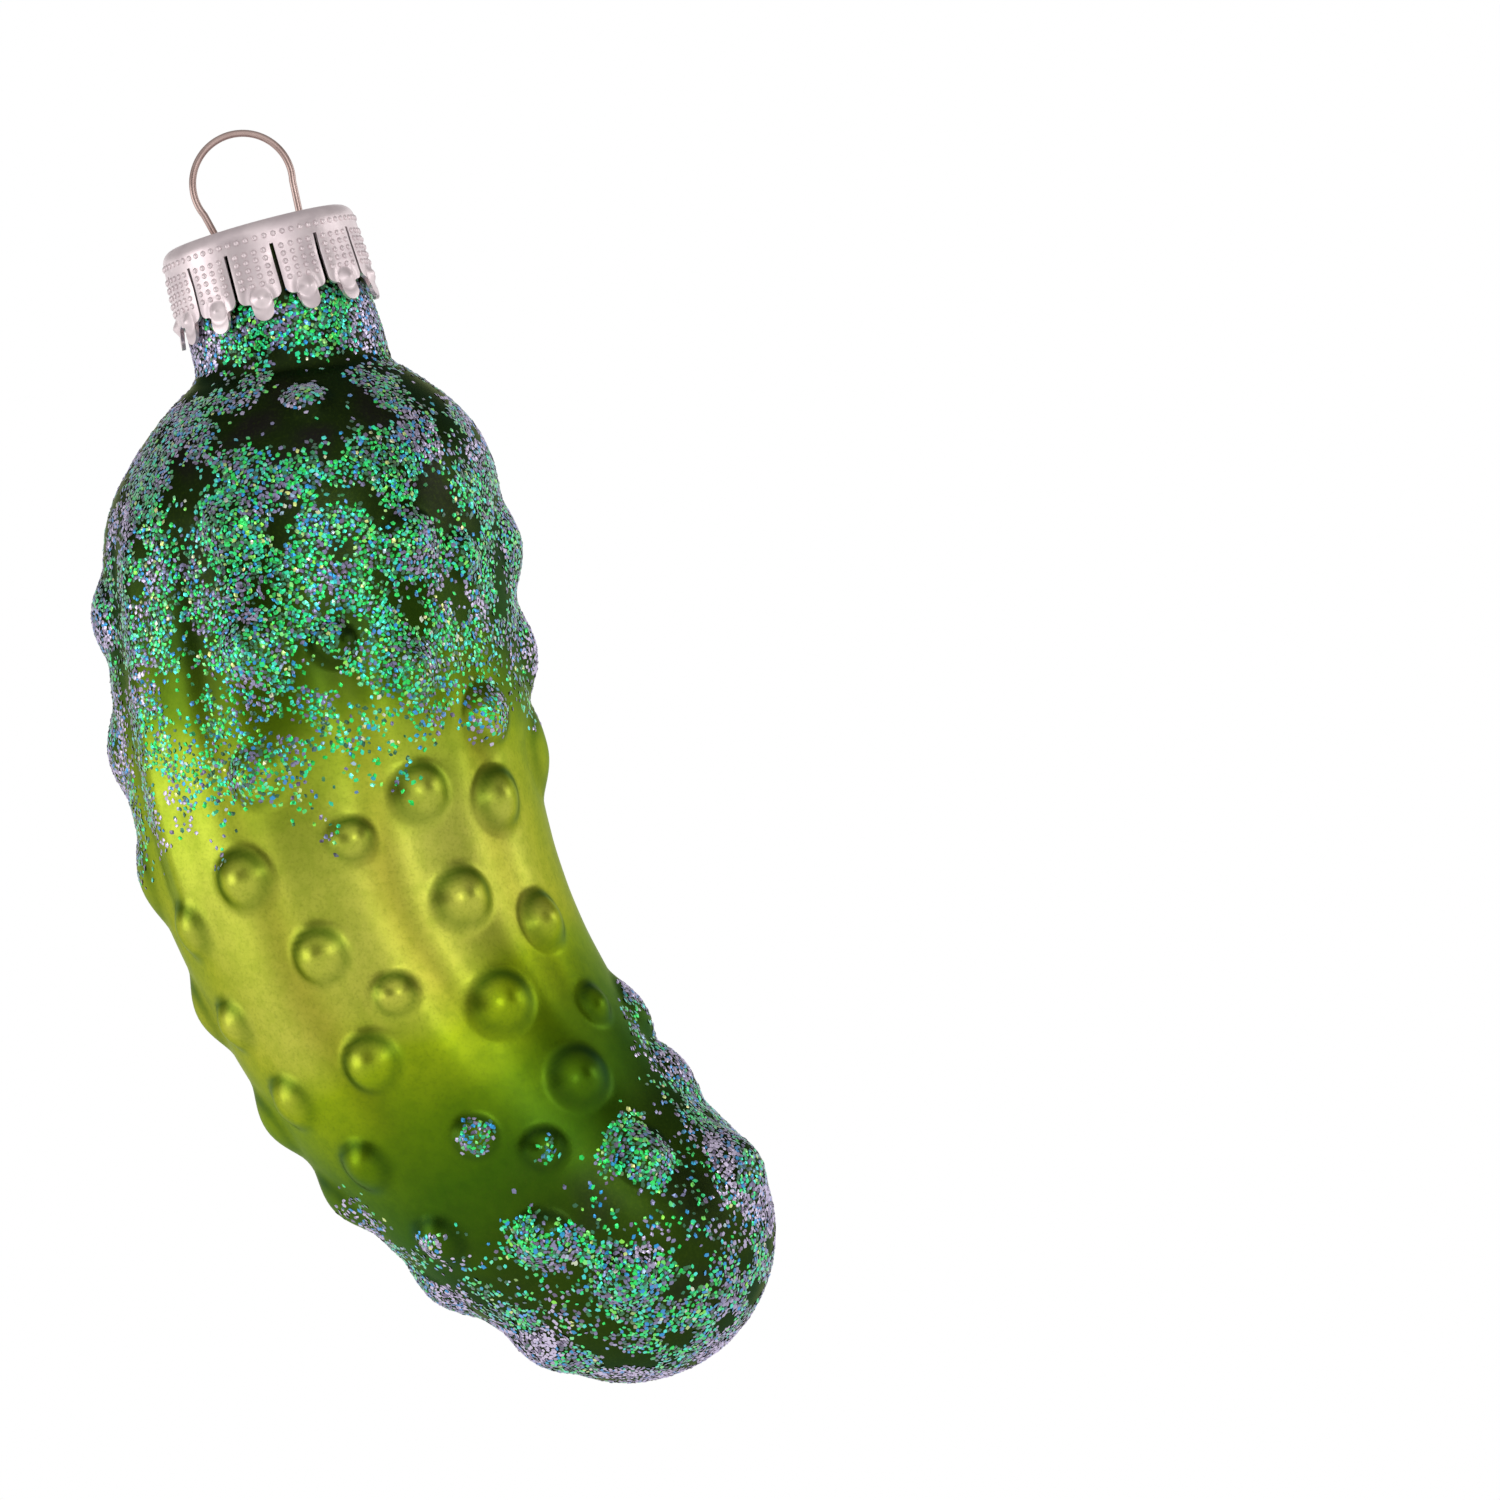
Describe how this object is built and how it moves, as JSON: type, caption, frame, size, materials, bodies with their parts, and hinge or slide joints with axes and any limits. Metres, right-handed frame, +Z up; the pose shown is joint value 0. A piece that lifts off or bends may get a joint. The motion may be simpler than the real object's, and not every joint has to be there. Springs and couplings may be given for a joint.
{
  "type": "pickle ornament",
  "caption": "Hollow blown glass ornament shaped as a bent, warted pickle with a neck, closed by a slit crown cap that a spring wire hanger with a loop grips in place.",
  "frame": {"origin": "inside top of the hanger's loop, where a hook carries the ornament", "axes": "+Z up along the axis of the neck, +X towards the side that the lower end bends to, +Y away from the front of the ornament"},
  "size_m": [0.0403, 0.0329, 0.1004],
  "materials": {
    "lacquered_glass": "silvered inside, satin green lacquer, glitter at both ends",
    "cap_metal": "satin, embossed with fine dots",
    "wire_steel": "drawn wire"
  },
  "bodies": {
    "hanger": {"hanger_wire": "wire_steel"},
    "cap": {"crown_cap": "cap_metal"},
    "glass": {"glass_shell": "lacquered_glass"}
  },
  "joints": [
    {"name": "hanger_rock", "type": "hinge", "parent": "hanger", "child": "cap", "pos_m": [0, 0, -0.00726], "axis": [1, 0, 0], "range_deg": [-8, 8]},
    {"name": "glass_pull", "type": "slide", "parent": "cap", "child": "glass", "axis": [0, 0, -1], "range_m": [0, 0.02]}
  ]
}
